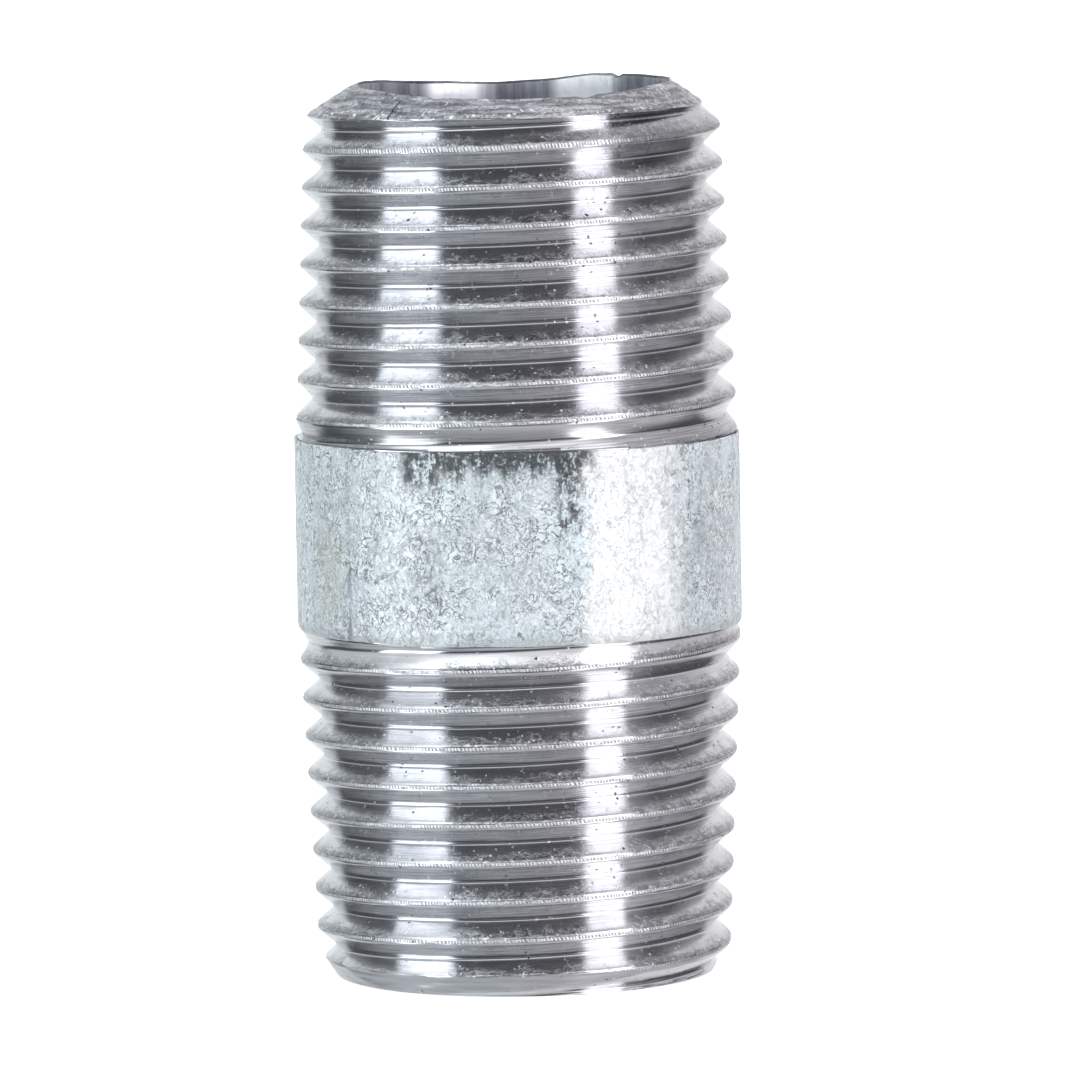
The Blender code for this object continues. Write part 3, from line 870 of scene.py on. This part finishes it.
# ---- studio -----------------------------------------------------------------
def studio():
    floor_mesh = bpy.data.meshes.new("studio_floor")
    s = 2.0
    floor_mesh.from_pydata(
        [(-s, -s, -0.00002), (s, -s, -0.00002), (s, s, -0.00002), (-s, s, -0.00002)], [], [(0, 1, 2, 3)]
    )
    floor = bpy.data.objects.new("studio_floor", floor_mesh)
    bpy.context.scene.collection.objects.link(floor)
    m, g = new_material("pale_floor")
    s = g.add("ShaderNodeBsdfPrincipled")
    s.inputs["Base Color"].default_value = rgb(0.80, 0.80, 0.80)
    s.inputs["Roughness"].default_value = 1.0
    s.inputs["Specular IOR Level"].default_value = 0.0
    s.inputs["Emission Color"].default_value = rgb(1.0, 1.0, 1.0)
    s.inputs["Emission Strength"].default_value = 0.55
    out = g.add("ShaderNodeOutputMaterial")
    g.tree.links.new(s.outputs[0], out.inputs[0])
    floor_mesh.materials.append(m)
    floor.visible_glossy = False

    world = bpy.data.worlds.new("studio")
    bpy.context.scene.world = world
    world.use_nodes = True
    g = Graph(world.node_tree)
    x, y, z = g.parts(g.add("ShaderNodeTexCoord").outputs["Generated"])
    az = g.mul(g.math("ARCTAN2", x, g.mul(y, -1.0)), 180.0 / math.pi)
    el = g.mul(g.math("ARCSINE", z), 180.0 / math.pi)
    # two soft boxes in front, a pale wall behind, a white table, and a dim room between them
    left_az = g.window(az, -83.6, -82.2, -46.6, -45.0)
    left = g.mul(left_az, g.window(el, -44.0, -34.0, -3.0, 3.0))
    left_high = g.mul(left_az, g.window(el, -4.0, 4.0, 34.0, 46.0))
    right_az = g.window(az, 36.2, 37.8, 60.6, 62.0)
    right = g.mul(right_az, g.window(el, -60.0, -44.0, 36.0, 48.0))
    skirt = g.plus(g.mul(g.window(az, 58.0, 61.0, 66.0, 84.0), 0.30), g.mul(g.window(az, -108.0, -92.0, -84.0, -83.0), 0.10))
    skirt = g.mul(skirt, g.window(el, -60.0, -44.0, 36.0, 48.0))
    around = g.math("ABSOLUTE", az)
    below_top = g.rise(el, 74.0, 62.0)
    behind = g.rise(around, 133.0, 144.0)
    upper = g.rise(el, 4.0, 13.0)
    key = g.mul(g.rise(around, 75.0, 50.0), g.window(el, 28.0, 38.0, 54.0, 66.0))
    table = g.rise(el, -28.0, -42.0)
    ahead = g.math("SUBTRACT", 1.0, behind)
    level = g.plus(g.mul(behind, 0.88), g.mul(g.mul(upper, ahead), 0.66))
    level = g.plus(level, g.mul(g.rise(el, 34.0, 50.0), 0.30))
    left_key = g.mul(g.window(az, -100.0, -85.0, -30.0, -15.0), g.window(el, 36.0, 44.0, 58.0, 68.0))
    level = g.mul(g.plus(level, g.mul(key, 0.9)), below_top)
    level = g.plus(level, g.mul(left_key, 1.5))
    level = g.plus(level, g.mul(g.mul(table, ahead), 0.60))
    level = g.plus(level, g.mul(left, 4.4))
    level = g.plus(level, g.mul(left_high, 0.32))
    level = g.plus(level, skirt)
    level = g.plus(level, g.mul(right, 3.4))
    level = g.plus(level, 0.165)
    studio_light = g.add("ShaderNodeBackground")
    tint = g.mix(g.rise(az, -30.0, 30.0), rgb(0.935, 0.985, 1.0), rgb(1.0, 0.975, 0.99))
    g.put(studio_light.inputs["Color"], tint)
    g.put(studio_light.inputs["Strength"], level)
    backdrop = g.add("ShaderNodeBackground")
    backdrop.inputs["Color"].default_value = rgb(0.96, 0.96, 0.96)
    backdrop.inputs["Strength"].default_value = 1.0
    pick = g.add("ShaderNodeMixShader")
    g.put(pick.inputs[0], g.add("ShaderNodeLightPath").outputs["Is Camera Ray"])
    g.tree.links.new(studio_light.outputs[0], pick.inputs[1])
    g.tree.links.new(backdrop.outputs[0], pick.inputs[2])
    out = g.add("ShaderNodeOutputWorld")
    g.tree.links.new(pick.outputs[0], out.inputs[0])


studio()

camera_data = bpy.data.cameras.new("camera")
camera_data.sensor_width = 36.0
camera_data.lens = 305.4
camera_data.clip_start = 0.01
camera_data.clip_end = 10.0
camera = bpy.data.objects.new("camera", camera_data)
bpy.context.scene.collection.objects.link(camera)
camera.matrix_world = (
    Matrix.Translation((0.00101, -0.43126, 0.06419))
    @ Euler((math.radians(90.0 - 5.792), 0.0, 0.0)).to_matrix().to_4x4()
    @ Matrix.Rotation(math.radians(-0.93), 4, "Z")
)
bpy.context.scene.camera = camera
bpy.context.scene.view_settings.view_transform = "Standard"
